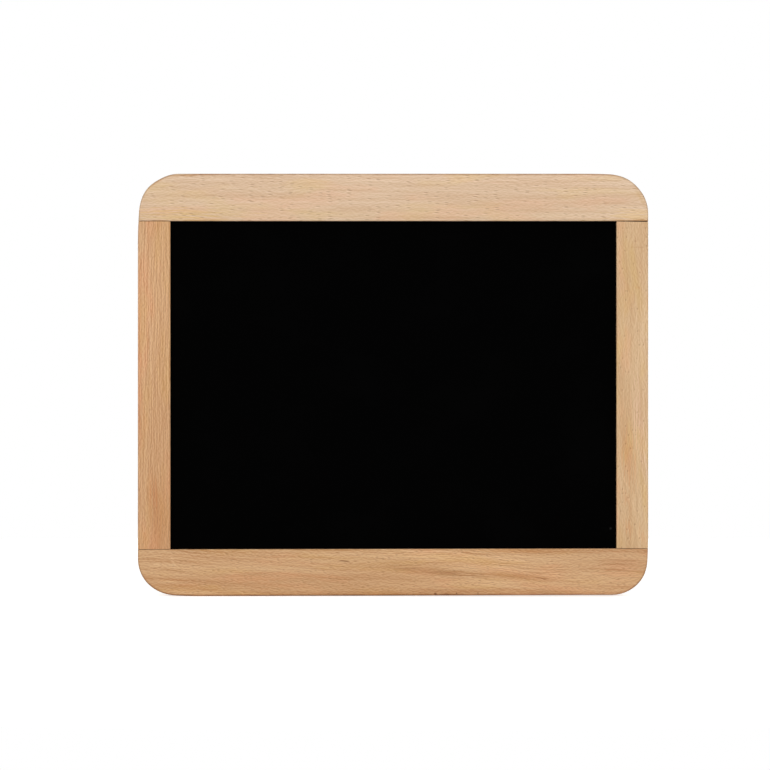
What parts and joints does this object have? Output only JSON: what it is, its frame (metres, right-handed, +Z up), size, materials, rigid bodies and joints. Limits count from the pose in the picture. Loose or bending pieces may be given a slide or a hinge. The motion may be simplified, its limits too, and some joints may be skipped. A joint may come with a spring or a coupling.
{
  "type": "framed chalkboard",
  "caption": "Small framed writing slate: a near-black panel in a clear-finished beech frame with slot-and-tenon corners and a rounded outline.",
  "frame": {"origin": "middle of the lower edge, halfway through the thickness, on the surface that the board stands on", "axes": "+X to the right across the face, +Z up the face from the bottom rail to the top rail, and -Y out of the face towards the writer"},
  "size_m": [0.25, 0.009, 0.207],
  "materials": {
    "pale_beech": "satin",
    "warm_beech": "satin",
    "blackened_slate": "matte",
    "bright_steel": "satin"
  },
  "bodies": {
    "root": {"top_rail": "pale_beech", "bottom_rail": "warm_beech", "left_stile": "warm_beech", "right_stile": "pale_beech", "writing_panel": "blackened_slate", "top_left_brad": "bright_steel", "top_right_brad": "bright_steel", "bottom_left_brad": "bright_steel", "bottom_right_brad": "bright_steel"}
  },
  "joints": []
}
